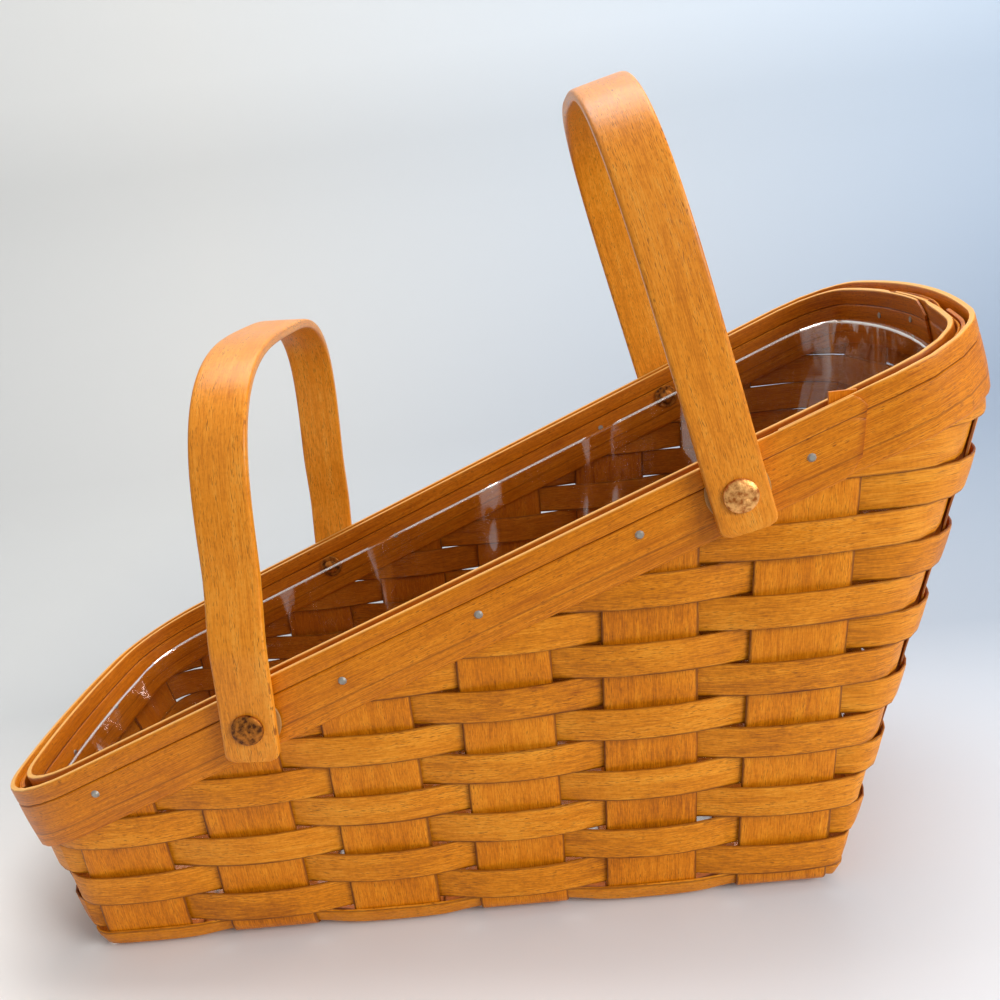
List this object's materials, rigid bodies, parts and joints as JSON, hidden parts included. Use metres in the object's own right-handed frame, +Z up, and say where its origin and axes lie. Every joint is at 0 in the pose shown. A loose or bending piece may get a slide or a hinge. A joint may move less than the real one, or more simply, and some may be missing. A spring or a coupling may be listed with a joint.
{
  "type": "woven basket",
  "caption": "Slant-topped woven splint basket with rim bands, two hinged hoop handles on rivets and a clear liner that lifts out.",
  "frame": {"origin": "on the floor under the middle of the overall length and width", "axes": "+Z up, +X towards the tall end, +Y towards the side away from the picture, across the basket"},
  "size_m": [0.385, 0.1874, 0.3009],
  "materials": {
    "stake_wood": "satin varnish",
    "weaver_wood": "satin varnish",
    "band_wood": "satin varnish",
    "handle_wood": "satin varnish",
    "copper": "worn, darkened",
    "spacer_plastic": "translucent",
    "clear_plastic": "clear"
  },
  "bodies": {
    "basket": {"cross_stake_1": "stake_wood", "cross_stake_2": "stake_wood", "cross_stake_3": "stake_wood", "cross_stake_4": "stake_wood", "cross_stake_5": "stake_wood", "cross_stake_6": "stake_wood", "long_stake_1": "stake_wood", "long_stake_2": "stake_wood", "long_stake_3": "stake_wood", "weaver_00": "weaver_wood", "weaver_01": "weaver_wood", "weaver_02": "weaver_wood", "weaver_03": "weaver_wood", "weaver_04": "weaver_wood", "weaver_05": "weaver_wood", "weaver_06": "weaver_wood", "weaver_07": "weaver_wood", "weaver_08": "weaver_wood", "weaver_09": "weaver_wood", "weaver_10": "weaver_wood", "weaver_11": "weaver_wood", "weaver_12": "weaver_wood", "weaver_13": "weaver_wood", "weaver_14": "weaver_wood", "rim_weaver": "weaver_wood", "rim_band_outer": "band_wood", "rim_band_inner": "band_wood", "rivet_low_near": "copper", "spacer_low_near": "spacer_plastic", "burr_low_near": "copper", "rivet_low_far": "copper", "spacer_low_far": "spacer_plastic", "burr_low_far": "copper", "rivet_tall_near": "copper", "spacer_tall_near": "spacer_plastic", "burr_tall_near": "copper", "rivet_tall_far": "copper", "spacer_tall_far": "spacer_plastic", "burr_tall_far": "copper"},
    "low handle": {"handle_low": "handle_wood"},
    "tall handle": {"handle_tall": "handle_wood"},
    "liner": {"clear_liner": "clear_plastic"}
  },
  "joints": [
    {"name": "low_handle_swing", "type": "hinge", "parent": "basket", "child": "low handle", "pos_m": [-0.07834, 0, 0.09804], "axis": [0, 1, 0], "range_deg": [-84, 11]},
    {"name": "tall_handle_swing", "type": "hinge", "parent": "basket", "child": "tall handle", "pos_m": [0.09586, 0, 0.16439], "axis": [0, 1, 0], "range_deg": [-49, 156]},
    {"name": "liner_lift", "type": "slide", "parent": "basket", "child": "liner", "axis": [0, 0, 1], "range_m": [0, 0.06]}
  ]
}
